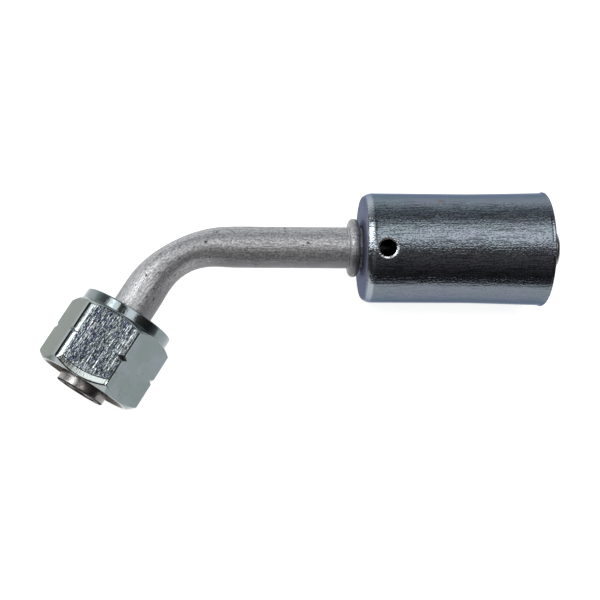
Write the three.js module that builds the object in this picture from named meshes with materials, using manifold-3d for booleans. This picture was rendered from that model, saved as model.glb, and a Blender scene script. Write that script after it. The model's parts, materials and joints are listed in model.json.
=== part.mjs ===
import * as THREE from 'three';
import { mergeVertices } from 'three/addons/utils/BufferGeometryUtils.js';
import Module from 'manifold-3d';

// A crimp-on hose-end fitting: a ferrule and a barbed stem for the hose, a bent tube with an upset bead,
// and a hexagonal swivel nut round an O-ring pilot. Millimetres, +Z up. The bend lies in a level plane.
// The run is the tube's stretch along X, and the leg is its stretch beyond the bend.

// Driving dimensions of the tube and its bend. x = 0 is the ferrule's shoulder face.
const TUBE_RADIUS = 9.525 / 2;
const TUBE_WALL = 1.4;
const RUN_LENGTH = 31.84;
const BEND_RADIUS = 19.95;
const BEND_ANGLE = THREE.MathUtils.degToRad(58.7);
const FLAT_CENTRE = THREE.MathUtils.degToRad(27.8);
const FLAT_SPREAD = THREE.MathUtils.degToRad(38.5);
const FLAT_DEPTH = 0.163;
const FLAT_WIDENING = 0.05;
const BEAD_RADIUS = 6.77;
const BEAD_THICKNESS = 2.3;
const BEAD_END = -0.7;

// Ferrule.
const FERRULE_RADIUS = 12.67;
const FERRULE_LENGTH = 42.48;
const FERRULE_WALL = 1.9;
const FERRULE_END_WALL = 1.5;
const FERRULE_FILLET = 2.6;
const FLARE_START = 25;
const FLARE_RADIUS = 13.11;
const LIP_LENGTH = 0.9;
const MOUTH_RADIUS = 13.33;
const SIGHT_HOLE_RADIUS = 1.95;
const SIGHT_HOLE_X = 4.7;
const SIGHT_HOLE_TILT = THREE.MathUtils.degToRad(15.5);

// Hose stem, measured along X.
const STEM_BORE_RADIUS = 3.1;
const STEM_COLLAR_RADIUS = 6.3;
const STEM_COLLAR_LENGTH = 1.5;
const STEM_ROOT_RADIUS = 4.1;
const STEM_LAND_RADIUS = 4.35;
const STEM_TIP_X = 45.95;
const BARB_RADIUS = 4.65;
const BARB_COUNT = 6;
const BARB_FIRST_X = 7.7;
const BARB_PITCH = 5.6;
const BARB_RAMP = 4.2;

// Pilot and nut, measured along the leg from the bend's end.
const PILOT_RADIUS = 5.77;
const PILOT_BORE_RADIUS = 3.6;
const PILOT_TIP = 28.06;
const SHOULDER_RADIUS = 7.9;
const SHOULDER_START = 17.4;
const SHOULDER_LENGTH = 3.2;
const SOCKET_DEPTH = 2.6;
const GROOVE_START = 22;
const GROOVE_WIDTH = 2.2;
const GROOVE_RADIUS = 4.6;
const O_RING_SECTION = 0.8;
const NUT_START = 7.49;
const NUT_LENGTH = 18.48;
const NUT_CORNER_RADIUS = 12.83;
const NUT_PHASE = THREE.MathUtils.degToRad(1.6);
const NUT_BACK_WALL = 4;
const NUT_BACK_BORE = 5.3;
const NUT_THREAD_BORE = 8.75;
const NUT_COLLAR_RADIUS = 10.83;
const NUT_COLLAR_LENGTH = 2.4;
const NUT_FACE_RADIUS = 10.8;
const NUT_COUNTERSINK_RADIUS = 10.1;
const NUT_CHAMFER_SLOPE = Math.tan(THREE.MathUtils.degToRad(36));
const NOTCH_DEPTH = 0.75;
const NOTCH_HALF_WIDTH = 0.68;

// Shared by all pieces.
const GAP = 0.3;
const EDGE = 0.4;
const FINE = 64;
const COARSE = 40;
const MERGE_TOLERANCE = 1e-4;

const PLATED = { roughness: 0.3, metalness: 1 };
const MILL_FINISH = { roughness: 0.55, metalness: 1 };

const wasm = await Module();
wasm.setup();

function toSolid(geometry) {
  const bare = geometry.clone();
  bare.deleteAttribute('normal');
  bare.deleteAttribute('uv');
  const merged = mergeVertices(bare, MERGE_TOLERANCE);
  return new wasm.Manifold(new wasm.Mesh({
    numProp: 3,
    vertProperties: Float32Array.from(merged.attributes.position.array),
    triVerts: Uint32Array.from(merged.index.array),
  }));
}

function toGeometry(solid) {
  const { vertProperties, triVerts } = solid.getMesh();
  const geometry = new THREE.BufferGeometry();
  geometry.setAttribute('position', new THREE.BufferAttribute(vertProperties, 3));
  geometry.setIndex(new THREE.BufferAttribute(triVerts, 1));
  return geometry;
}

// A ring turned about X from a closed profile of [x, radius] points: outer wall towards +X, inner wall back.
function turned(profile, segments) {
  const points = [...profile, profile[0]].map(([x, radius]) => new THREE.Vector2(radius, x));
  const geometry = new THREE.LatheGeometry(points, segments);
  const yToX = new THREE.Matrix4().makeBasis(
    new THREE.Vector3(0, 0, 1),
    new THREE.Vector3(1, 0, 0),
    new THREE.Vector3(0, 1, 0),
  );
  return toSolid(geometry.applyMatrix4(yToX));
}

// Profile points on a circular arc. Angles are in quarter turns from +X towards the larger radius.
function arc(x, radius, size, from, to, steps) {
  return Array.from({ length: steps + 1 }, (_, i) => {
    const angle = (from + (to - from) * i / steps) * Math.PI / 2;
    return [x + size * Math.cos(angle), radius + size * Math.sin(angle)];
  });
}

// The tube's centre line at a distance from its ferrule end.
class TubeRoute extends THREE.Curve {
  constructor(start, end) {
    super();
    this.start = start;
    this.run = start + RUN_LENGTH;
    this.total = this.run + BEND_RADIUS * BEND_ANGLE + end;
  }

  getPoint(t) {
    const distance = t * this.total;
    if (distance < this.run) return new THREE.Vector3(this.start - distance, 0, 0);
    const angle = Math.min((distance - this.run) / BEND_RADIUS, BEND_ANGLE);
    const beyond = distance - this.run - angle * BEND_RADIUS;
    return bendPoint(angle, 0).addScaledVector(legDirection(), beyond);
  }
}

function bendPoint(angle, offset) {
  const radius = BEND_RADIUS + offset;
  return new THREE.Vector3(
    -RUN_LENGTH - radius * Math.sin(angle),
    radius * Math.cos(angle) - BEND_RADIUS,
    0,
  );
}

function legDirection() {
  return new THREE.Vector3(-Math.cos(BEND_ANGLE), -Math.sin(BEND_ANGLE), 0);
}

// How far a point lies round the bend, and its offset across the centre line in the bend's plane.
function stationOf(point) {
  if (point.x > -RUN_LENGTH) {
    return { angle: -(point.x + RUN_LENGTH) / BEND_RADIUS, outward: new THREE.Vector3(0, 1, 0), offset: point.y };
  }
  const turn = Math.atan2(-point.x - RUN_LENGTH, point.y + BEND_RADIUS);
  const inBend = Math.min(turn, BEND_ANGLE);
  const centre = bendPoint(inBend, 0);
  const outward = new THREE.Vector3(-Math.sin(inBend), Math.cos(inBend), 0);
  const away = new THREE.Vector3(point.x, point.y, 0).sub(centre);
  const beyond = turn > BEND_ANGLE ? away.dot(legDirection()) : 0;
  return { angle: inBend + beyond / BEND_RADIUS, outward, offset: away.dot(outward) };
}

// Bending flattens the tube in the bend's plane and widens it a little across.
function flatten(geometry) {
  const position = geometry.attributes.position;
  const point = new THREE.Vector3();
  for (let i = 0; i < position.count; i += 1) {
    point.fromBufferAttribute(position, i);
    const { angle, outward, offset } = stationOf(point);
    const reach = THREE.MathUtils.clamp((angle - FLAT_CENTRE) / FLAT_SPREAD, -1, 1);
    const amount = Math.cos(reach * Math.PI / 2) ** 2;
    point.addScaledVector(outward, -offset * FLAT_DEPTH * amount);
    point.z *= 1 + FLAT_WIDENING * amount;
    position.setXYZ(i, point.x, point.y, point.z);
  }
  return geometry;
}

function tubeSolid() {
  const section = new THREE.Shape().absarc(0, 0, TUBE_RADIUS, 0, 2 * Math.PI, false);
  section.holes.push(new THREE.Path().absarc(0, 0, TUBE_RADIUS - TUBE_WALL, 0, 2 * Math.PI, true));
  const route = new TubeRoute(FERRULE_END_WALL, SHOULDER_START + SOCKET_DEPTH - GAP);
  const swept = new THREE.ExtrudeGeometry(section, {
    steps: 38, curveSegments: 12, bevelEnabled: false, extrudePath: route,
  });
  const round = BEAD_THICKNESS / 2;
  const bead = turned([
    [BEAD_END - BEAD_THICKNESS, TUBE_RADIUS - TUBE_WALL / 2],
    ...arc(BEAD_END - round, BEAD_RADIUS - round, round, 2, 0, 8),
    [BEAD_END, TUBE_RADIUS - TUBE_WALL / 2],
  ], FINE);
  return toSolid(flatten(swept)).add(bead);
}

function ferruleSolid() {
  const innerRadius = FERRULE_RADIUS - FERRULE_WALL;
  const mouthInner = MOUTH_RADIUS - FERRULE_WALL;
  const neck = TUBE_RADIUS + GAP;
  const shell = turned([
    [0, neck],
    ...arc(FERRULE_FILLET, FERRULE_RADIUS - FERRULE_FILLET, FERRULE_FILLET, 2, 1, 7),
    [FLARE_START, FERRULE_RADIUS],
    [FERRULE_LENGTH - LIP_LENGTH, FLARE_RADIUS],
    [FERRULE_LENGTH - EDGE, MOUTH_RADIUS],
    [FERRULE_LENGTH, MOUTH_RADIUS - EDGE],
    [FERRULE_LENGTH, mouthInner + EDGE],
    [FERRULE_LENGTH - EDGE, mouthInner],
    [FLARE_START, innerRadius],
    [FERRULE_END_WALL + EDGE, innerRadius],
    [FERRULE_END_WALL, innerRadius - EDGE],
    [FERRULE_END_WALL, neck],
  ], FINE);
  const drill = new THREE.CylinderGeometry(SIGHT_HOLE_RADIUS, SIGHT_HOLE_RADIUS, 3 * FERRULE_RADIUS, 28);
  drill.rotateX(Math.PI / 2 + SIGHT_HOLE_TILT);
  drill.translate(SIGHT_HOLE_X, 0, 0);
  return shell.subtract(toSolid(drill));
}

// Each barb drops steeply towards the bend and slopes gently towards the tip, so the hose can't slip off.
function barbProfile() {
  return Array.from({ length: BARB_COUNT }, (_, i) => {
    const x = BARB_FIRST_X + i * BARB_PITCH;
    return [[x, STEM_ROOT_RADIUS], [x + EDGE / 2, BARB_RADIUS], [x + BARB_RAMP, STEM_ROOT_RADIUS]];
  }).flat();
}

function stemSolid() {
  const rear = FERRULE_END_WALL + GAP;
  const landStart = BARB_FIRST_X + BARB_COUNT * BARB_PITCH;
  const tipRound = 0.9;
  return turned([
    [rear, STEM_BORE_RADIUS],
    [rear, STEM_COLLAR_RADIUS],
    [rear + STEM_COLLAR_LENGTH, STEM_COLLAR_RADIUS],
    [rear + STEM_COLLAR_LENGTH, STEM_ROOT_RADIUS],
    ...barbProfile(),
    [landStart, STEM_ROOT_RADIUS],
    [landStart + EDGE, STEM_LAND_RADIUS],
    ...arc(STEM_TIP_X - tipRound, STEM_LAND_RADIUS - tipRound, tipRound, 1, 0, 4),
    [STEM_TIP_X, STEM_BORE_RADIUS],
  ], COARSE);
}

function pilotSolid() {
  const grooveEnd = GROOVE_START + GROOVE_WIDTH;
  const socketEnd = SHOULDER_START + SOCKET_DEPTH;
  const socketRadius = TUBE_RADIUS + GAP;
  return turned([
    [SHOULDER_START, socketRadius],
    [SHOULDER_START, SHOULDER_RADIUS - EDGE],
    [SHOULDER_START + EDGE, SHOULDER_RADIUS],
    [SHOULDER_START + SHOULDER_LENGTH, SHOULDER_RADIUS],
    [SHOULDER_START + SHOULDER_LENGTH, PILOT_RADIUS],
    [GROOVE_START, PILOT_RADIUS],
    [GROOVE_START, GROOVE_RADIUS],
    [grooveEnd, GROOVE_RADIUS],
    [grooveEnd, PILOT_RADIUS],
    [PILOT_TIP - EDGE, PILOT_RADIUS],
    [PILOT_TIP, PILOT_RADIUS - EDGE],
    [PILOT_TIP, PILOT_BORE_RADIUS + EDGE],
    [PILOT_TIP - EDGE, PILOT_BORE_RADIUS],
    [socketEnd, PILOT_BORE_RADIUS],
    [socketEnd, socketRadius],
  ], COARSE);
}

function oRingSolid() {
  const middle = GROOVE_START + GROOVE_WIDTH / 2;
  return turned(arc(middle, GROOVE_RADIUS + GAP + O_RING_SECTION, O_RING_SECTION, 2, -2, 12).slice(1), COARSE);
}

function hexPrism() {
  const corners = Array.from({ length: 6 }, (_, i) => {
    const angle = NUT_PHASE + i * Math.PI / 3;
    return new THREE.Vector2(NUT_CORNER_RADIUS * Math.cos(angle), NUT_CORNER_RADIUS * Math.sin(angle));
  });
  const prism = new THREE.ExtrudeGeometry(new THREE.Shape(corners), {
    depth: NUT_LENGTH + 2, bevelEnabled: false,
  });
  prism.translate(0, 0, NUT_START - 1);
  const zToX = new THREE.Matrix4().makeBasis(
    new THREE.Vector3(0, 1, 0),
    new THREE.Vector3(0, 0, 1),
    new THREE.Vector3(1, 0, 0),
  );
  return toSolid(prism.applyMatrix4(zToX));
}

function nutSolid() {
  const end = NUT_START + NUT_LENGTH;
  const hexStart = NUT_START + NUT_COLLAR_LENGTH;
  const outside = NUT_CORNER_RADIUS + 0.2;
  const drop = (outside - NUT_FACE_RADIUS) * NUT_CHAMFER_SLOPE;
  const envelope = turned([
    [NUT_START, NUT_BACK_BORE],
    [NUT_START, NUT_COLLAR_RADIUS - EDGE],
    [NUT_START + EDGE, NUT_COLLAR_RADIUS],
    [hexStart, NUT_COLLAR_RADIUS],
    [hexStart + drop, outside],
    [end - drop, outside],
    [end, NUT_FACE_RADIUS],
    [end, NUT_COUNTERSINK_RADIUS],
    [end - (NUT_COUNTERSINK_RADIUS - NUT_THREAD_BORE), NUT_THREAD_BORE],
    [NUT_START + NUT_BACK_WALL, NUT_THREAD_BORE],
    [NUT_START + NUT_BACK_WALL, NUT_BACK_BORE],
  ], FINE);
  const notchAt = (hexStart + end) / 2;
  const notches = turned([
    [notchAt - NOTCH_HALF_WIDTH, NUT_CORNER_RADIUS],
    [notchAt - NOTCH_HALF_WIDTH, outside],
    [notchAt + NOTCH_HALF_WIDTH, outside],
    [notchAt + NOTCH_HALF_WIDTH, NUT_CORNER_RADIUS],
    [notchAt, NUT_CORNER_RADIUS - NOTCH_DEPTH],
  ], FINE);
  return envelope.intersect(hexPrism()).subtract(notches);
}

function piece(name, solid, color, finish) {
  const mesh = new THREE.Mesh(toGeometry(solid), new THREE.MeshStandardMaterial({ color, ...finish }));
  mesh.name = name;
  return mesh;
}

// The leg's own frame has its X axis along the leg and its origin at the bend's end.
function legGroup() {
  const leg = new THREE.Group();
  leg.position.copy(bendPoint(BEND_ANGLE, 0));
  leg.rotation.z = Math.PI + BEND_ANGLE;
  leg.add(
    piece('swivel_nut', nutSolid(), 0xb4bcc0, PLATED),
    piece('o_ring_pilot', pilotSolid(), 0x9a9c9c, MILL_FINISH),
    piece('o_ring', oRingSolid(), 0x15181a, { roughness: 0.6, metalness: 0 }),
  );
  return leg;
}

function hoseEndFitting() {
  const fitting = new THREE.Group();
  fitting.add(
    piece('bent_tube', tubeSolid(), 0xb9bbba, MILL_FINISH),
    piece('ferrule', ferruleSolid(), 0xa9b2ba, PLATED),
    piece('hose_stem', stemSolid(), 0x9fa2a3, MILL_FINISH),
    legGroup(),
  );
  return fitting;
}

// The origin is the centre of the bounding box's bottom.
function stoodOnOrigin(object) {
  object.updateMatrixWorld(true);
  const box = new THREE.Box3().setFromObject(object, true);
  const middle = box.getCenter(new THREE.Vector3());
  object.position.set(-middle.x, -middle.y, -box.min.z);
  return new THREE.Group().add(object);
}

export default stoodOnOrigin(hoseEndFitting());
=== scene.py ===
"""Looks of a crimp-on hose-end fitting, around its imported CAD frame. Names in _MM are in millimetres."""

import json
import math

import bmesh
import bpy
import numpy as np
from mathutils import Matrix, Vector


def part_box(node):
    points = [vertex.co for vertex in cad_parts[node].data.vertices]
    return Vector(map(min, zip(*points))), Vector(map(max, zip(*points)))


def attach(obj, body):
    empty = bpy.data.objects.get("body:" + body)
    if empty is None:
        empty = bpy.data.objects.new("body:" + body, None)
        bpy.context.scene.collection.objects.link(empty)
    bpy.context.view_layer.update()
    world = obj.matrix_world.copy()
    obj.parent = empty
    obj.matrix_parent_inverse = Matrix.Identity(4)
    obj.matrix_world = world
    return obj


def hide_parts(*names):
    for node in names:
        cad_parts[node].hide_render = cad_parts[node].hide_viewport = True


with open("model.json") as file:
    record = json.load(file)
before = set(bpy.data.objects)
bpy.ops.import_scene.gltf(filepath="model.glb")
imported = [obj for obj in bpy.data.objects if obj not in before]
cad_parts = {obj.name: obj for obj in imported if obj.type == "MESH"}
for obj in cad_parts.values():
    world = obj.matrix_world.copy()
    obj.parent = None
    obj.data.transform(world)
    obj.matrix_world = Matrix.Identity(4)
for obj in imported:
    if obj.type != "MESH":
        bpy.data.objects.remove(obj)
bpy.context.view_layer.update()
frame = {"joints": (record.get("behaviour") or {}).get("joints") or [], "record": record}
MM = 0.001

# ---------------------------------------------------------------- places, from the frame
JOINTS = {joint["name"]: joint for joint in frame["joints"]}
MOUNTS = {mount["name"]: mount for mount in frame["record"]["mounts"]}
SHOULDER = Vector(JOINTS["ferrule_spin"]["pos_m"])
RUN_AXIS = Vector((1, 0, 0))
LEG_AXIS = Vector(JOINTS["nut_swivel"]["axis"]).normalized()
LEG_POINT = Vector(JOINTS["nut_swivel"]["pos_m"])
UP = Vector((0, 0, 1))
BEND_ANGLE = RUN_AXIS.angle(-LEG_AXIS)
BEND_RADIUS_MM = 19.95


def bend_end():
    """Where the bend meets the leg: one tangent length beyond the corner of the two centre lines."""
    to_corner = (LEG_POINT.y - SHOULDER.y) / LEG_AXIS.y
    corner = LEG_POINT - LEG_AXIS * to_corner
    return corner + LEG_AXIS * (BEND_RADIUS_MM * MM * math.tan(BEND_ANGLE / 2))


BEND_END = bend_end()
RUN_MM = (SHOULDER.x - BEND_END.x) / MM - BEND_RADIUS_MM * math.sin(BEND_ANGLE)


def along_leg(point):
    """Distance of a point along the leg from the bend's end, in millimetres."""
    return (Vector(point) - BEND_END).dot(LEG_AXIS) / MM


PILOT_TIP_MM = along_leg(MOUNTS["pilot_end_face"]["pos_m"])
NUT_MOUTH_MM = along_leg(MOUNTS["nut_mouth_face"]["pos_m"])
FERRULE_LOW, FERRULE_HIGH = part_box("ferrule")
FERRULE_LENGTH_MM = (FERRULE_HIGH.x - FERRULE_LOW.x) / MM
FERRULE_MOUTH_MM = (FERRULE_HIGH.z - FERRULE_LOW.z) / 2 / MM
STEM_TIP_MM = (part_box("hose_stem")[1].x - SHOULDER.x) / MM
FLAT_NORMAL = Vector(MOUNTS["nut_wrench_flat"]["axis"]).normalized()

# ---------------------------------------------------------------- sizes
TUBE_RADIUS_MM = 9.525 / 2
TUBE_BORE_MM = TUBE_RADIUS_MM - 1.4
GAP_MM = 0.3
BEAD_RADIUS_MM = 6.77
BEAD_THICKNESS_MM = 2.3
BEAD_START_MM = 0.7
FERRULE_RADIUS_MM = 12.67
NUT_LENGTH_MM = 18.48
NUT_APOTHEM_MM = 12.83 * math.cos(math.pi / 6)
THREAD_PITCH_MM = 25.4 / 16


# ---------------------------------------------------------------- profiles and meshes
def rounded(corners, step):
    """A closed profile through (along, radius, fillet) corners, with round corners and no span over step."""
    points = []
    count = len(corners)
    for i, (along, radius, fillet) in enumerate(corners):
        here = np.array((along, radius), float)
        back = np.array(corners[i - 1][:2], float) - here
        ahead = np.array(corners[(i + 1) % count][:2], float) - here
        points.extend(fillet_points(here, back, ahead, fillet))
    return divided(points, step)


def fillet_points(here, back, ahead, fillet):
    """The corner itself, or the points of its fillet arc."""
    if fillet <= 0:
        return [here]
    back = back / np.linalg.norm(back)
    ahead = ahead / np.linalg.norm(ahead)
    half = math.acos(np.clip(back @ ahead, -1, 1)) / 2
    middle = (back + ahead) / np.linalg.norm(back + ahead)
    centre = here + middle * fillet / math.sin(half)
    start = here + back * fillet / math.tan(half) - centre
    end = here + ahead * fillet / math.tan(half) - centre
    sweep = math.pi - 2 * half
    steps = max(3, round(sweep / math.radians(12)))
    weights = [i / steps for i in range(steps + 1)]
    return [
        centre + (math.sin((1 - w) * sweep) * start + math.sin(w * sweep) * end) / math.sin(sweep)
        for w in weights
    ]


def divided(points, step):
    """The same closed outline with extra points, so that no span is longer than step."""
    result = []
    for here, ahead in zip(points, points[1:] + points[:1]):
        parts = max(1, math.ceil(np.linalg.norm(ahead - here) / step))
        result.extend(here + (ahead - here) * i / parts for i in range(parts))
    return np.array(result)


def axis_frame(origin, axis):
    """A matrix from (along, across, up) in millimetres to the row frame in metres."""
    across = UP.cross(axis)
    matrix = Matrix((axis, across, UP)).transposed().to_4x4()
    return Matrix.Translation(origin) @ matrix @ Matrix.Scale(MM, 4)


RUN_FRAME = axis_frame(SHOULDER, RUN_AXIS)
LEG_FRAME = axis_frame(BEND_END, LEG_AXIS)


def turned(profile, segments, radius_of=None):
    """Rings of (along, across, up) points round the axis. radius_of may change a radius by its place."""
    turn = np.linspace(0, 2 * np.pi, segments, endpoint=False)[None, :]
    along = np.repeat(profile[:, 0:1], segments, axis=1)
    radius = np.repeat(profile[:, 1:2], segments, axis=1)
    if radius_of:
        radius = radius_of(along, radius, turn)
    return np.stack([along, radius * np.cos(turn), radius * np.sin(turn)], axis=2)


def placed(rings, matrix):
    """Rings moved by a 4x4 matrix."""
    m = np.array(matrix)
    return rings @ m[:3, :3].T + m[:3, 3]


def ring_mesh(name, rings, flow=None):
    """A closed skin over rings, last joined to first. flow is each point's place on the straight part."""
    rows, columns, _ = rings.shape
    index = np.arange(rows * columns).reshape(rows, columns)
    right = np.roll(index, -1, axis=1)
    quads = np.stack([index, right, np.roll(right, -1, axis=0), np.roll(index, -1, axis=0)], axis=2)
    mesh = bpy.data.meshes.new(name)
    mesh.from_pydata(rings.reshape(-1, 3).tolist(), [], quads.reshape(-1, 4).tolist())
    if flow is not None:
        attribute = mesh.attributes.new("flow", "FLOAT_VECTOR", "POINT")
        attribute.data.foreach_set("vector", flow.reshape(-1).astype(np.float32))
    outward_and_smooth(mesh)
    piece = bpy.data.objects.new(name, mesh)
    bpy.context.scene.collection.objects.link(piece)
    return piece


def outward_and_smooth(mesh, sharp_angle=math.radians(38)):
    """Faces out and shaded smooth, with the sharp edges kept sharp."""
    bm = bmesh.new()
    bm.from_mesh(mesh)
    bmesh.ops.recalc_face_normals(bm, faces=bm.faces)
    for face in bm.faces:
        face.smooth = True
    for edge in bm.edges:
        edge.smooth = edge.calc_face_angle(0) < sharp_angle
    bm.to_mesh(mesh)
    bm.free()


def finish_piece(piece, node, body, material):
    """Gives a piece its material, ties it to its body, and hides the CAD node it stands in for."""
    piece.data.materials.append(material)
    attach(piece, body)
    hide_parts(node)


# ---------------------------------------------------------------- ferrule
HOLE_X_MM = 4.7
HOLE_RADIUS_MM = 1.9
HOLE_TILT = math.radians(15.5)
FLARE_START_MM = 24
FLARE_RISE_MM = 0.47
LIP_MM = 0.7


def flare(x):
    """Outer radius where the shell widens to its mouth."""
    reach = (x - FLARE_START_MM) / (FERRULE_LENGTH_MM - FLARE_START_MM)
    return FERRULE_RADIUS_MM + FLARE_RISE_MM * max(0, reach) ** 1.2


def ferrule_profile():
    wall, end_wall, ridge = 1.9, 1.5, 0.35
    neck = TUBE_RADIUS_MM + GAP_MM
    length = FERRULE_LENGTH_MM
    flare_xs = np.arange(FLARE_START_MM, length - LIP_MM - 0.6, 1.2)
    outer = [(x, flare(x), 0) for x in flare_xs]
    inner = [(x, flare(x) - wall, 0) for x in flare_xs[::-1]]
    reach, drop = 2.6, 1.6
    shoulder = [
        (reach - reach * math.sin(turn), FERRULE_RADIUS_MM - drop + drop * math.cos(turn), 0)
        for turn in np.radians(np.arange(90, -1, -5))
    ]
    ridges = []
    for x in np.arange(21, 6, -3.5):
        bore = flare(x) - wall
        ridges += [(x + 0.9, bore, 0.2), (x, bore - ridge, 0.15), (x - 0.9, bore, 0.2)]
    return rounded([
        (0, neck, 0.15),
        *shoulder,
        *outer,
        (length - LIP_MM, flare(length - LIP_MM), 0),
        (length - LIP_MM + 0.25, FERRULE_MOUTH_MM - 0.02, 0.2),
        (length, FERRULE_MOUTH_MM, 0.3),
        (length, FERRULE_MOUTH_MM - wall, 0.35),
        *inner,
        *ridges,
        (end_wall, FERRULE_RADIUS_MM - wall, 0.5),
        (end_wall, neck, 0.15),
    ], 0.8)


def hole_cutter():
    """A drill shape whose upper end opens out along the shell's surface, which breaks the hole's edge."""
    turn = np.linspace(0, 2 * np.pi, 72, endpoint=False)
    wall = [(0, -2 * FERRULE_RADIUS_MM), (0, -2.6), (0, -0.3), (0.03, -0.2), (0.1, -0.14)]
    bevel = [(0.3, -0.07), (0.5, 0.0), (0.7, 0.08), (0.9, 0.6)]
    points = []
    for opening, rise in wall + bevel:
        radius = HOLE_RADIUS_MM + opening
        x = radius * np.cos(turn)
        y = radius * np.sin(turn)
        surface = np.sqrt(FERRULE_RADIUS_MM ** 2 - y ** 2)
        points.append(np.stack([HOLE_X_MM + x, y, surface + rise], axis=1))
    rows = np.array(points)
    bm = bmesh.new()
    vertices = [[bm.verts.new(p) for p in row] for row in rows]
    count = len(turn)
    for low, high in zip(vertices, vertices[1:]):
        for i in range(count):
            bm.faces.new((low[i], low[(i + 1) % count], high[(i + 1) % count], high[i]))
    bm.faces.new(vertices[0][::-1])
    bm.faces.new(vertices[-1])
    bmesh.ops.recalc_face_normals(bm, faces=bm.faces)
    mesh = bpy.data.meshes.new("hole_cutter")
    bm.to_mesh(mesh)
    bm.free()
    return mesh


def cut_hole(piece, mesh, turn):
    """Subtracts the cutter, turned about the run's axis, and removes it."""
    cutter = bpy.data.objects.new("hole_cutter", mesh)
    bpy.context.scene.collection.objects.link(cutter)
    cutter.matrix_world = RUN_FRAME @ Matrix.Rotation(turn, 4, "X")
    bpy.context.view_layer.update()
    modifier = piece.modifiers.new("hole", "BOOLEAN")
    modifier.operation = "DIFFERENCE"
    modifier.solver = "EXACT"
    modifier.object = cutter
    bake_modifiers(piece)
    bpy.data.objects.remove(cutter)


def bake_modifiers(piece):
    """Turns a piece's modifiers into its mesh."""
    graph = bpy.context.evaluated_depsgraph_get()
    mesh = bpy.data.meshes.new_from_object(piece.evaluated_get(graph))
    piece.modifiers.clear()
    piece.data = mesh
    outward_and_smooth(mesh)


def make_ferrule():
    rings = turned(ferrule_profile(), 256)
    piece = ring_mesh("ferrule_shell", placed(rings, RUN_FRAME))
    cutter = hole_cutter()
    for half_turn in (0, math.pi):
        cut_hole(piece, cutter, HOLE_TILT + half_turn)
    finish_piece(piece, "ferrule", "crimp_shell", plated_ferrule())


# ---------------------------------------------------------------- bent tube
FLAT_CENTRE = math.radians(27.8)
FLAT_SPREAD = math.radians(38.5)
FLAT_DEPTH = 0.163
FLAT_WIDENING = 0.05


def tube_outline():
    """(distance from the shoulder towards the nut, radius) of the tube's outside and bead."""
    bead_end = BEAD_START_MM + BEAD_THICKNESS_MM
    r = TUBE_RADIUS_MM
    end = RUN_MM + BEND_RADIUS_MM * BEND_ANGLE + 19.7
    return rounded([
        (-1.5, TUBE_BORE_MM, 0.15),
        (-1.5, r, 0.2),
        (BEAD_START_MM, r, 0.12),
        (BEAD_START_MM, BEAD_RADIUS_MM, BEAD_THICKNESS_MM / 2 - 0.02),
        (bead_end, BEAD_RADIUS_MM, BEAD_THICKNESS_MM / 2 - 0.02),
        (bead_end, r, 0.35),
        (end, r, 0.2),
        (end, TUBE_BORE_MM, 0.15),
    ], 0.55)


def tube_station(distance):
    """Centre, outward direction and bend angle of the tube at a distance from the shoulder."""
    angle = (distance - RUN_MM) / BEND_RADIUS_MM
    turn = min(max(angle, 0), BEND_ANGLE)
    outward = Vector((-math.sin(turn), math.cos(turn), 0))
    tangent = Vector((-math.cos(turn), -math.sin(turn), 0))
    centre = SHOULDER + Vector((-RUN_MM, -BEND_RADIUS_MM, 0)) * MM
    centre = centre + outward * BEND_RADIUS_MM * MM
    beyond = (angle - turn) * BEND_RADIUS_MM
    return centre + tangent * beyond * MM, outward, angle


def make_tube():
    turn = np.linspace(0, 2 * np.pi, 128, endpoint=False)
    rings, flow = [], []
    for distance, radius in tube_outline():
        centre, outward, angle = tube_station(distance)
        reach = np.clip((angle - FLAT_CENTRE) / FLAT_SPREAD, -1, 1)
        amount = math.cos(reach * math.pi / 2) ** 2
        across = radius * np.cos(turn) * (1 - FLAT_DEPTH * amount)
        height = radius * np.sin(turn) * (1 + FLAT_WIDENING * amount)
        rings.append(np.array(centre) + MM * (np.outer(across, outward) + np.outer(height, UP)))
        flow.append(np.stack([np.full_like(turn, distance), across, height], axis=1))
    piece = ring_mesh("bent_tube_body", np.array(rings), np.array(flow))
    finish_piece(piece, "bent_tube", "tube_assembly", drawn_aluminium())


# ---------------------------------------------------------------- swivel nut
NUT_START_MM = NUT_MOUTH_MM - NUT_LENGTH_MM
COLLAR_MM = 2.4
COLLAR_RADIUS_MM = 10.83
NUT_FACE_MM = 10.8
CORNER_REACH_MM = 13.0
THREAD_BORE_MM = 8.75
THREAD_DEPTH_MM = 0.72
COUNTERSINK_MM = 10.1
NUT_CHAMFER = math.tan(math.radians(36))
NOTCH_HALF_MM = 0.68
NOTCH_FLOOR_MM = 12.08
WORN_FROM_MM = 4.9
WORN_EDGE_SLOPE = 0.28
WORN_BAND_MM = 1.5
WORN_BAND_SLOPE = 0.19


def nut_profile():
    drop = (CORNER_REACH_MM - NUT_FACE_MM) * NUT_CHAMFER
    hex_start = NUT_START_MM + COLLAR_MM
    lead = COUNTERSINK_MM - THREAD_BORE_MM
    return rounded([
        (NUT_START_MM, 5.3, 0.3),
        (NUT_START_MM, COLLAR_RADIUS_MM, 0.35),
        (hex_start, COLLAR_RADIUS_MM, 0.15),
        (hex_start + 0.02, NUT_FACE_MM + 0.12, 0),
        (hex_start + drop, CORNER_REACH_MM, 0),
        (NUT_MOUTH_MM - drop, CORNER_REACH_MM, 0),
        (NUT_MOUTH_MM, NUT_FACE_MM, 0.12),
        (NUT_MOUTH_MM, COUNTERSINK_MM, 0.12),
        (NUT_MOUTH_MM - lead, THREAD_BORE_MM, 0),
        (NUT_START_MM + 4, THREAD_BORE_MM, 0.3),
        (NUT_START_MM + 4, 5.3, 0.3),
    ], 0.16)


def smooth_min(a, b, blend):
    """The smaller of two radii, rounded where they meet."""
    near = np.clip(blend - np.abs(a - b), 0, None) / blend
    return np.minimum(a, b) - near ** 2 * blend / 4


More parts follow.
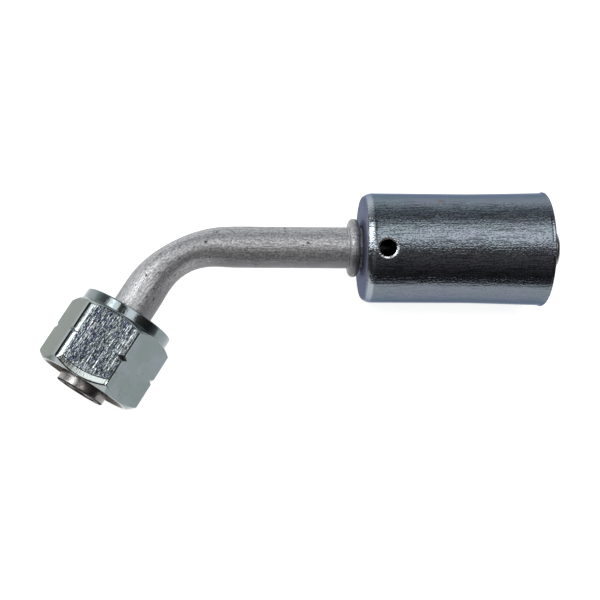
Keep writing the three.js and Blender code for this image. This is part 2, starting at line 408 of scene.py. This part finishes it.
def hexagon_radius(turn):
    """Radius of the hexagon with softened corners."""
    flat = math.atan2(FLAT_NORMAL.z, FLAT_NORMAL.dot(UP.cross(LEG_AXIS)))
    offset = (turn - flat + math.pi / 6) % (math.pi / 3) - math.pi / 6
    nearest = NUT_APOTHEM_MM / np.cos(offset)
    neighbour = NUT_APOTHEM_MM / np.cos(math.pi / 3 - np.abs(offset))
    return smooth_min(nearest, neighbour, 0.4)


def thread_radius(along, turn):
    """Radius of the internal thread, which fades out at its blind end."""
    phase = (along / THREAD_PITCH_MM - turn / (2 * np.pi)) % 1
    wave = np.clip(1.35 - 2.7 * np.abs(phase - 0.5), 0, 1)
    fade = np.clip((along - NUT_START_MM - 5.2) / 1.2, 0, 1)
    return THREAD_BORE_MM + THREAD_DEPTH_MM * wave * fade


def worn_flat(along, turn):
    """How far the upper flat falls away beside its left edge and beside the chamfer."""
    flat = math.atan2(FLAT_NORMAL.z, FLAT_NORMAL.dot(UP.cross(LEG_AXIS)))
    offset = turn - flat
    sideways = NUT_APOTHEM_MM * np.tan(np.clip(offset, -math.pi / 6, math.pi / 6))
    beside_edge = np.clip(sideways - WORN_FROM_MM, 0, None)
    cone = NUT_FACE_MM + (NUT_MOUTH_MM - along) / NUT_CHAMFER
    before_chamfer = (cone - NUT_APOTHEM_MM / np.cos(offset)) * NUT_CHAMFER
    beside_chamfer = np.clip(WORN_BAND_MM - before_chamfer, 0, WORN_BAND_MM)
    fall = np.maximum(beside_edge * WORN_EDGE_SLOPE, beside_chamfer * WORN_BAND_SLOPE)
    return np.where(np.abs(offset) < math.pi / 6, fall, 0)


def nut_radius(along, radius, turn):
    outside = radius > THREAD_BORE_MM + 2
    outer = smooth_min(radius, hexagon_radius(turn) - worn_flat(along, turn), 0.3)
    notch_at = (NUT_START_MM + COLLAR_MM + NUT_MOUTH_MM) / 2
    notch = NOTCH_FLOOR_MM + np.abs(along - notch_at) / NOTCH_HALF_MM * 0.75
    outer = smooth_min(outer, notch, 0.08)
    in_thread = (along > NUT_START_MM + 4.3) & ~outside
    bore = np.where(in_thread, np.maximum(radius, thread_radius(along, turn)), radius)
    return np.where(outside, outer, bore)


def make_nut():
    rings = turned(nut_profile(), 480, nut_radius)
    piece = ring_mesh("swivel_nut_body", placed(rings, LEG_FRAME), rings)
    finish_piece(piece, "swivel_nut", "nut", plated_nut())


# ---------------------------------------------------------------- pilot, seal and stem
def pilot_profile():
    start, tip, nose, bore, groove = 17.4, PILOT_TIP_MM, 5.77, 3.6, 4.6
    socket = TUBE_RADIUS_MM + GAP_MM
    return rounded([
        (start, socket, 0.15),
        (start, 7.9, 0.4),
        (start + 3.2, 7.9, 0.25),
        (start + 3.2, nose, 0.3),
        (22, nose, 0.12),
        (22, groove, 0.2),
        (24.2, groove, 0.2),
        (24.2, nose, 0.12),
        (tip - 0.25, nose, 0.1),
        (tip, nose - 0.25, 0.08),
        (tip, bore + 0.4, 0.1),
        (tip - 0.4, bore, 0.1),
        (start + 2.6, bore, 0.1),
        (start + 2.6, socket, 0.1),
    ], 0.5)


def make_pilot():
    rings = turned(pilot_profile(), 160)
    piece = ring_mesh("o_ring_pilot_body", placed(rings, LEG_FRAME), rings)
    metal = turned_metal("pilot_metal", (PILOT_TIP_MM - 0.35, PILOT_TIP_MM - 0.15, 0.0, 0.85))
    finish_piece(piece, "o_ring_pilot", "tube_assembly", metal)


def make_seal():
    section = 0.8
    turn = np.linspace(0, 2 * np.pi, 28, endpoint=False)
    profile = np.stack([23.1 - section * np.cos(turn), 5.7 + section * np.sin(turn)], axis=1)
    rings = turned(profile, 128)
    piece = ring_mesh("o_ring_seal", placed(rings, LEG_FRAME), rings)
    finish_piece(piece, "o_ring", "seal", seal_rubber())


def stem_profile():
    rear, bore, root, land = 1.8, 3.1, 4.1, 4.35
    barbs = []
    for i in range(6):
        x = 7.7 + 5.6 * i
        barbs += [(x, root, 0.12), (x + 0.2, 4.65, 0.1), (x + 4.2, root, 0.3)]
    return rounded([
        (rear, bore, 0.15),
        (rear, 6.3, 0.2),
        (rear + 1.5, 6.3, 0.2),
        (rear + 1.5, root, 0.3),
        *barbs,
        (41.3, root, 0.1),
        (41.7, land, 0.1),
        (STEM_TIP_MM, land, 0.85),
        (STEM_TIP_MM, bore, 0.25),
    ], 0.6)


def make_stem():
    rings = turned(stem_profile(), 144)
    piece = ring_mesh("hose_stem_body", placed(rings, RUN_FRAME), rings)
    metal = turned_metal("stem_metal", (9, 16, 0.95, 0.0))
    finish_piece(piece, "hose_stem", "tube_assembly", metal)


# ---------------------------------------------------------------- materials
class Nodes:
    """A small builder of one material's nodes."""

    def __init__(self, name):
        self.material = bpy.data.materials.new(name)
        self.material.use_nodes = True
        self.tree = self.material.node_tree
        self.shader = self.tree.nodes["Principled BSDF"]

    def add(self, kind, inputs=(), **settings):
        node = self.tree.nodes.new(kind)
        for key, value in settings.items():
            setattr(node, key, value)
        for key, value in dict(inputs).items():
            self.feed(node.inputs[key], value)
        return node

    def feed(self, socket, value):
        if isinstance(value, bpy.types.NodeSocket):
            self.tree.links.new(value, socket)
        else:
            socket.default_value = value

    def place(self, origin=None):
        """Millimetres on the straight part: the flow attribute, or the row frame from an origin."""
        if origin is None:
            return self.add("ShaderNodeAttribute", attribute_name="flow").outputs["Vector"]
        point = self.add("ShaderNodeTexCoord").outputs["Object"]
        shifted = self.add("ShaderNodeVectorMath", {0: point, 1: tuple(origin)}, operation="SUBTRACT")
        scaled = self.add("ShaderNodeVectorMath", {0: shifted.outputs[0], "Scale": 1 / MM}, operation="SCALE")
        return scaled.outputs[0]

    def stretched(self, place, scale, offset=(0, 0, 0)):
        return self.add("ShaderNodeMapping", {"Vector": place, "Scale": scale, "Location": offset}).outputs[0]

    def noise(self, place, scale, detail=3.0, roughness=0.6, offset=(0, 0, 0)):
        """Noise from 0 to 1 whose grain is 1 / scale millimetres along each axis."""
        vector = self.stretched(place, scale, offset)
        settings = {"Vector": vector, "Scale": 1.0, "Detail": detail, "Roughness": roughness}
        return self.add("ShaderNodeTexNoise", settings).outputs["Fac"]

    def spot(self, place, centre, radius):
        """One near a point, falling to zero at a radius."""
        return self.spread(self.distance(place, centre), radius * 0.4, radius, 1.0, 0.0)

    def distance(self, place, point):
        node = self.add("ShaderNodeVectorMath", {0: place, 1: point}, operation="DISTANCE")
        return node.outputs["Value"]

    def dot(self, place, direction):
        node = self.add("ShaderNodeVectorMath", {0: place, 1: direction}, operation="DOT_PRODUCT")
        return node.outputs["Value"]

    def from_axis(self, place):
        """Distance from the X axis."""
        across = self.stretched(place, (0, 1, 1))
        return self.add("ShaderNodeVectorMath", {0: across}, operation="LENGTH").outputs["Value"]

    def split(self, place):
        return self.add("ShaderNodeSeparateXYZ", {0: place}).outputs

    def spread(self, value, low, high, to_low=0.0, to_high=1.0):
        keys = {"Value": value, "From Min": low, "From Max": high, "To Min": to_low, "To Max": to_high}
        return self.add("ShaderNodeMapRange", keys, interpolation_type="SMOOTHSTEP").outputs["Result"]

    def math(self, operation, a, b):
        return self.add("ShaderNodeMath", {0: a, 1: b}, operation=operation).outputs[0]

    def times(self, a, b):
        return self.math("MULTIPLY", a, b)

    def blend(self, amount, a, b):
        node = self.add("ShaderNodeMix", data_type="RGBA")
        self.feed(node.inputs["Factor"], amount)
        self.feed(node.inputs["A"], a)
        self.feed(node.inputs["B"], b)
        return node.outputs["Result"]

    def bump(self, height, distance_mm, under=None):
        keys = {"Height": height, "Distance": distance_mm * MM, "Strength": 1.0}
        if under is not None:
            keys["Normal"] = under
        return self.add("ShaderNodeBump", keys).outputs["Normal"]

    def metal(self, **inputs):
        return self.shade(Metallic=1.0, **inputs)

    def shade(self, **inputs):
        for key, value in inputs.items():
            self.feed(self.shader.inputs[key.replace("_", " ")], value)
        return self.material


def tint(red, green, blue):
    return (red, green, blue, 1.0)


def plated_ferrule():
    """Zinc plating: speckle and lengthwise streaks where it is rubbed, a painted mauve reflection on the end
    face, a painted highlight on the shoulder's fillet, and a painted highlight round the hole's edge.
    """
    n = Nodes("bright_zinc_on_ferrule")
    place = n.place(SHOULDER)
    streaks = n.noise(place, (0.22, 3.0, 3.0), detail=1.5, roughness=0.4)
    grain = n.noise(place, (2.2, 3.4, 3.4), detail=1, roughness=0.4, offset=(7, 3, 1))
    waves = n.noise(place, (0.03, 0.5, 0.5), detail=2, offset=(2, 9, 4))
    cloud = n.noise(place, (0.12, 0.14, 0.14), detail=3, offset=(5, 5, 5))
    color = n.blend(n.spread(cloud, 0.35, 0.7), tint(0.155, 0.185, 0.205), tint(0.17, 0.184, 0.22))
    parts = n.split(place)
    rubbed = n.times(n.spread(parts["Y"], -11, -9, 0.3, 1), n.spread(parts["Y"], 6.5, 9, 1, 0.15))
    dark = tint(0.05, 0.06, 0.07)
    color = n.blend(n.times(n.spread(streaks, 0.52, 0.66, 0, 0.75), rubbed), color, dark)
    color = n.blend(n.times(n.spread(grain, 0.5, 0.6, 0, 0.75), rubbed), color, dark)
    end_face = n.spread(parts["X"], 0.1, 0.5, 1.0, 0.0)
    # Painted highlight: the shoulder's fillet is made lighter, standing in for the lamp it catches.
    fillet = n.times(n.spread(parts["X"], 0.5, 0.8), n.spread(parts["X"], 1.6, 2.2, 1, 0))
    color = n.blend(fillet, color, tint(0.3, 0.33, 0.36))
    hole = (HOLE_X_MM, -FERRULE_RADIUS_MM * math.sin(HOLE_TILT), FERRULE_RADIUS_MM * math.cos(HOLE_TILT))
    skin = n.spread(n.from_axis(place), FERRULE_RADIUS_MM - 0.35, FERRULE_RADIUS_MM - 0.2)
    # Painted highlight: a light ring on the skin round the hole's edge, standing in for the glint on its broken
    # edge.
    hole_edge_highlight = n.spread(n.distance(place, hole), HOLE_RADIUS_MM + 0.45, HOLE_RADIUS_MM + 0.6, 1, 0)
    color = n.blend(n.times(hole_edge_highlight, skin), color, tint(0.5, 0.52, 0.53))
    # Painted reflection: the end face is tinted mauve and darker, standing in for the shaded floor it reflects.
    color = n.blend(end_face, color, tint(0.15, 0.15, 0.21))
    smudge = n.times(n.spot(place, (17.5, 8.6, 9.6), 1.2), n.spread(grain, 0.4, 0.6, 0.3, 1.0))
    color = n.blend(smudge, color, tint(0.14, 0.125, 0.11))
    roughness = n.math("ADD", n.spread(streaks, 0.3, 0.7, 0.13, 0.2), n.times(end_face, 0.3))
    relief = n.bump(waves, 0.05)
    relief = n.bump(n.times(streaks, rubbed), 0.04, relief)
    relief = n.bump(n.times(grain, rubbed), 0.06, relief)
    edge_tint = tint(0.4, 0.45, 0.55)
    return n.metal(Base_Color=color, Specular_Tint=edge_tint, Roughness=roughness, Normal=relief)


def plated_nut():
    """Zinc plating: a scuffed upper flat, borders worn to a polish and painted lighter as a highlight, painted
    shade on the left flat, smooth flats, and painted shade in the bore.
    """
    n = Nodes("bright_zinc_on_nut")
    place = n.place()
    parts = n.split(place)
    in_hexagon = n.spread(parts["X"], NUT_START_MM + COLLAR_MM + 0.4, NUT_START_MM + COLLAR_MM + 0.9)
    flat_normal = (0, UP.cross(LEG_AXIS).dot(FLAT_NORMAL), FLAT_NORMAL.z)
    height = n.dot(place, flat_normal)
    scuffed = n.times(n.spread(height, NUT_APOTHEM_MM - 0.07, NUT_APOTHEM_MM - 0.02), in_hexagon)
    scratches = n.noise(place, (0.16, 3.4, 3.4), detail=1.5, roughness=0.4)
    mottle = n.noise(place, (1.4, 2.5, 2.5), detail=1.5, roughness=0.5, offset=(3, 8, 2))
    specks = n.noise(place, (1.3, 1.3, 1.3), detail=1, offset=(8, 1, 5))
    cloud = n.noise(place, (0.2, 0.2, 0.2), detail=2, offset=(1, 4, 6))
    color = n.blend(n.spread(cloud, 0.35, 0.7), tint(0.17, 0.205, 0.205), tint(0.20, 0.23, 0.245))
    # Painted shade: the left flat is darkened in its colour and its specular tint, as if less light falls on
    # it.
    left_flat_shade = n.times(n.spread(parts["Y"], -8, -6.4, 0.95, 0.0), in_hexagon)
    color = n.blend(left_flat_shade, color, tint(0.065, 0.072, 0.067))
    # Polish and painted highlight: near the upper flat, outside its scuffed part, the hexagon and chamfer are
    # made lighter, partly worn polish and partly a painted highlight.
    beside_flat = n.times(n.spread(n.math("ABSOLUTE", parts["Y"], 0), 6.2, 6.5, 1, 0), in_hexagon)
    polish_and_highlight = n.times(n.math("SUBTRACT", 1.0, scuffed), beside_flat)
    color = n.blend(polish_and_highlight, color, tint(0.30, 0.33, 0.325))
    color = n.blend(n.spread(specks, 0.66, 0.74, 0, 0.6), color, tint(0.12, 0.13, 0.13))
    edge_tint = n.blend(left_flat_shade, tint(1, 1, 1), tint(0.84, 0.88, 0.85))
    blotches = n.spread(n.noise(place, (0.25, 0.5, 0.5), detail=2, offset=(2, 2, 9)), 0.4, 0.6, 0.5, 1)
    navy = n.times(n.times(n.spread(mottle, 0.42, 0.56), scuffed), blotches)
    color = n.blend(navy, color, tint(0.045, 0.05, 0.085))
    bright = n.times(n.spread(scratches, 0.58, 0.68), scuffed)
    color = n.blend(bright, color, tint(0.42, 0.44, 0.44))
    # Painted shade: everything inside the countersink's radius, the thread and bore, is darkened.
    bore_shade = n.spread(n.from_axis(place), COUNTERSINK_MM, COUNTERSINK_MM + 0.25, 1.0, 0.0)
    color = n.blend(bore_shade, color, tint(0.05, 0.045, 0.042))
    roughness = n.spread(mottle, 0.3, 0.75, 0.09, 0.15)
    relief = n.bump(n.times(scratches, n.spread(scuffed, 0, 1, 0.3, 1)), 0.06)
    relief = n.bump(n.times(mottle, n.spread(scuffed, 0, 1, 0.12, 1)), 0.09, relief)
    return n.metal(Base_Color=color, Specular_Tint=edge_tint, Roughness=roughness, Normal=relief)


# Larger nicks in the tube's skin: place on the straightened tube, and radius.
NICKS = [
    ((54.6, 3.2, 4.0), 0.5),
    ((38.5, -0.4, 4.9), 0.35),
    ((35.6, 0.1, 4.9), 0.55),
    ((51.0, 0.8, 4.8), 0.4),
]


def drawn_aluminium():
    """Dull drawn tube: fine lengthwise lines, scattered nicks, painted shade along its edges in the plane of
    the bend, and painted light towards the leg.
    """
    n = Nodes("drawn_aluminium")
    place = n.place()
    lines = n.noise(place, (0.3, 3.0, 3.0), detail=2, roughness=0.45)
    grain = n.noise(place, (2.0, 2.8, 2.8), detail=1.5, roughness=0.5, offset=(4, 2, 8))
    nicks = n.noise(place, (1.1, 1.6, 1.6), detail=2, offset=(9, 1, 3))
    where = n.noise(place, (0.14, 0.3, 0.3), detail=2, offset=(6, 6, 2))
    nick = n.times(n.spread(nicks, 0.6, 0.7), n.spread(where, 0.42, 0.58))
    ragged = n.spread(grain, 0.35, 0.55)
    for centre, radius in NICKS:
        nick = n.math("MAXIMUM", nick, n.times(n.spot(place, centre, radius), ragged))
    color = n.blend(n.spread(grain, 0.3, 0.7), tint(0.25, 0.26, 0.27), tint(0.55, 0.55, 0.56))
    color = n.blend(n.spread(lines, 0.54, 0.68, 0, 0.65), color, tint(0.2, 0.2, 0.21))
    parts = n.split(place)
    # Painted light: from 46 mm along onwards, towards the leg, the tube is made lighter.
    color = n.blend(n.spread(parts["X"], 46, 56, 0, 0.15), color, tint(0.82, 0.82, 0.83))
    # Painted shade: the tube is darkened along its inner and outer sides in the plane of the bend.
    across = parts["Y"]
    color = n.blend(n.spread(across, -4.6, -2.6, 0.9, 0.0), color, tint(0.13, 0.13, 0.135))
    color = n.blend(n.spread(across, 2.2, 4.6, 0.0, 0.75), color, tint(0.2, 0.2, 0.205))
    color = n.blend(nick, color, tint(0.06, 0.055, 0.055))
    roughness = n.spread(lines, 0.3, 0.7, 0.34, 0.46)
    relief = n.bump(lines, 0.06)
    relief = n.bump(grain, 0.07, relief)
    relief = n.bump(n.math("SUBTRACT", 1.0, nick), 0.08, relief)
    return n.shade(Base_Color=color, Metallic=0.65, Roughness=roughness, Normal=relief)


def turned_metal(name, shade_span):
    """Turned aluminium with painted shade at one end. The second argument is (from, to, amount at from, amount
    at to) along the axis.
    """
    n = Nodes(name)
    place = n.place()
    rings = n.noise(place, (2.5, 0.25, 0.25), detail=1)
    grain = n.noise(place, (1.5, 2.0, 2.0), detail=1, offset=(2, 5, 5))
    color = n.blend(n.spread(grain, 0.3, 0.75), tint(0.20, 0.195, 0.19), tint(0.27, 0.26, 0.255))
    # Painted shade: over the given span the metal is darkened in colour and specular tint, at the pilot's tip
    # in the nut's mouth and at the stem's rear inside the ferrule.
    end_shade = n.spread(n.split(place)["X"], *shade_span)
    color = n.blend(end_shade, color, tint(0.03, 0.028, 0.028))
    edge_tint = n.blend(end_shade, tint(1, 1, 1), tint(0.05, 0.05, 0.05))
    roughness = n.spread(rings, 0.3, 0.7, 0.2, 0.3)
    relief = n.bump(rings, 0.01)
    relief = n.bump(grain, 0.012, relief)
    return n.metal(Base_Color=color, Specular_Tint=edge_tint, Roughness=roughness, Normal=relief)


def seal_rubber():
    n = Nodes("seal_rubber")
    place = n.place()
    grain = n.noise(place, (3.0, 3.0, 3.0), detail=3)
    color = n.blend(n.spread(grain, 0.3, 0.7), tint(0.012, 0.014, 0.013), tint(0.03, 0.033, 0.031))
    roughness = n.spread(grain, 0.3, 0.7, 0.35, 0.55)
    return n.shade(Base_Color=color, Roughness=roughness, Normal=n.bump(grain, 0.02))


def floor_material():
    n = Nodes("pale_floor")
    return n.shade(
        Base_Color=tint(0.85, 0.86, 0.87),
        Roughness=0.8,
        Emission_Color=tint(1.0, 1.0, 1.0),
        Emission_Strength=0.82,
    )


# ---------------------------------------------------------------- stage
def make_floor():
    bpy.ops.mesh.primitive_plane_add(size=6, location=(0, 0, -0.0002))
    floor = bpy.context.object
    floor.name = "floor"
    floor.data.materials.append(floor_material())


def make_dark_sheet():
    """A black sheet beyond the near edge of the floor, seen only in reflections."""
    bpy.ops.mesh.primitive_plane_add(size=1, location=(0, -1.17, -0.0001))
    sheet = bpy.context.object
    sheet.name = "dark_sheet"
    sheet.scale = (4, 2, 1)
    sheet.visible_camera = False
    sheet.visible_shadow = False
    sheet.visible_diffuse = False
    n = Nodes("dark_sheet_finish")
    grain = n.noise(n.place((0, 0, 0)), (0.5, 0.5, 0.5))
    color = n.blend(grain, tint(0.015, 0.015, 0.015), tint(0.03, 0.03, 0.03))
    sheet.data.materials.append(n.shade(Base_Color=color, Roughness=0.9))


def make_world():
    """A white backdrop on the far side that fades up into a dark room. The camera itself sees plain white."""
    world = bpy.data.worlds.new("studio")
    world.use_nodes = True
    bpy.context.scene.world = world
    tree = world.node_tree
    nodes, links = tree.nodes, tree.links
    background = nodes["Background"]
    lean = nodes.new("ShaderNodeVectorMath")
    lean.operation = "DOT_PRODUCT"
    links.new(nodes.new("ShaderNodeTexCoord").outputs["Generated"], lean.inputs[0])
    lean.inputs[1].default_value = (0, -0.4, 1)
    ramp = nodes.new("ShaderNodeValToRGB")
    place = nodes.new("ShaderNodeMapRange")
    place.inputs["From Min"].default_value = -0.4
    place.inputs["From Max"].default_value = 1.1
    links.new(lean.outputs["Value"], place.inputs["Value"])
    links.new(place.outputs["Result"], ramp.inputs["Fac"])
    stops = ramp.color_ramp.elements
    levels = [
        (0.07, 0.98, 1.0, 1.0),
        (0.14, 0.80, 0.84, 0.87),
        (0.33, 0.31, 0.33, 0.34),
        (0.45, 0.15, 0.15, 0.16),
        (0.59, 0.04, 0.04, 0.05),
        (0.75, 0.055, 0.05, 0.05),
        (0.87, 0.12, 0.11, 0.105),
        (0.98, 0.29, 0.26, 0.26),
    ]
    while len(stops) < len(levels):
        stops.new(0.5)
    for stop, (position, *color) in zip(stops, levels):
        stop.position = position
        stop.color = (*color, 1)
    to_camera = nodes.new("ShaderNodeLightPath").outputs["Is Camera Ray"]
    mix = nodes.new("ShaderNodeMix")
    mix.data_type = "RGBA"
    links.new(to_camera, mix.inputs["Factor"])
    links.new(ramp.outputs["Color"], mix.inputs["A"])
    mix.inputs["B"].default_value = (1, 1, 1, 1)
    links.new(mix.outputs["Result"], background.inputs["Color"])
    background.inputs["Strength"].default_value = 1.0


def softbox(name, direction, distance, width, height, radiance):
    """A rectangular light of an even radiance, facing the origin, with its width along X."""
    light = bpy.data.lights.new(name, "AREA")
    light.shape = "RECTANGLE"
    light.size = width
    light.size_y = height
    light.energy = radiance * math.pi * width * height
    lamp = bpy.data.objects.new(name, light)
    bpy.context.scene.collection.objects.link(lamp)
    towards = Vector(direction).normalized()
    right = Vector((0, 1, 0)).cross(towards).normalized()
    turn = Matrix((right, towards.cross(right), towards)).transposed().to_4x4()
    lamp.matrix_world = Matrix.Translation(towards * distance) @ turn
    return lamp


def make_camera():
    """Nearly straight above the bend's plane, leaning a little towards the nut's side."""
    back = Vector((-0.06495, -0.22989, 0.97103)).normalized()
    right = Vector((0, 1, 0)).cross(back).normalized()
    turn = Matrix((right, back.cross(right), back)).transposed().to_4x4()
    roll = Matrix.Rotation(math.radians(-0.64), 4, "Z")
    target = Vector((-0.889, -0.41, 13.33)) * MM
    data = bpy.data.cameras.new("camera")
    data.lens = 69
    data.sensor_width = 36
    data.clip_start = 0.01
    data.clip_end = 50
    camera = bpy.data.objects.new("camera", data)
    bpy.context.scene.collection.objects.link(camera)
    camera.matrix_world = Matrix.Translation(target + back * 0.2625) @ turn @ roll
    bpy.context.scene.camera = camera


make_ferrule()
make_tube()
make_nut()
make_pilot()
make_seal()
make_stem()
make_floor()
make_dark_sheet()
make_world()
softbox("main_softbox", (0.27, 0.22, 0.94), 0.9, 0.46, 0.6, 2.3)
softbox("backdrop_softbox", (0.25, 0.62, 0.74), 0.9, 0.45, 0.24, 0.8)
softbox("side_softbox", (-0.44, 0.40, 0.80), 0.9, 0.42, 0.38, 2.8)
edge_softbox = softbox("edge_softbox", (-0.76, 0.22, 0.61), 0.9, 0.66, 0.42, 5.5)
edge_softbox.visible_diffuse = False
softbox("small_softbox", (-0.25, -0.10, 0.96), 0.9, 0.32, 0.22, 2.6)
make_camera()
bpy.context.scene.view_settings.view_transform = "Standard"
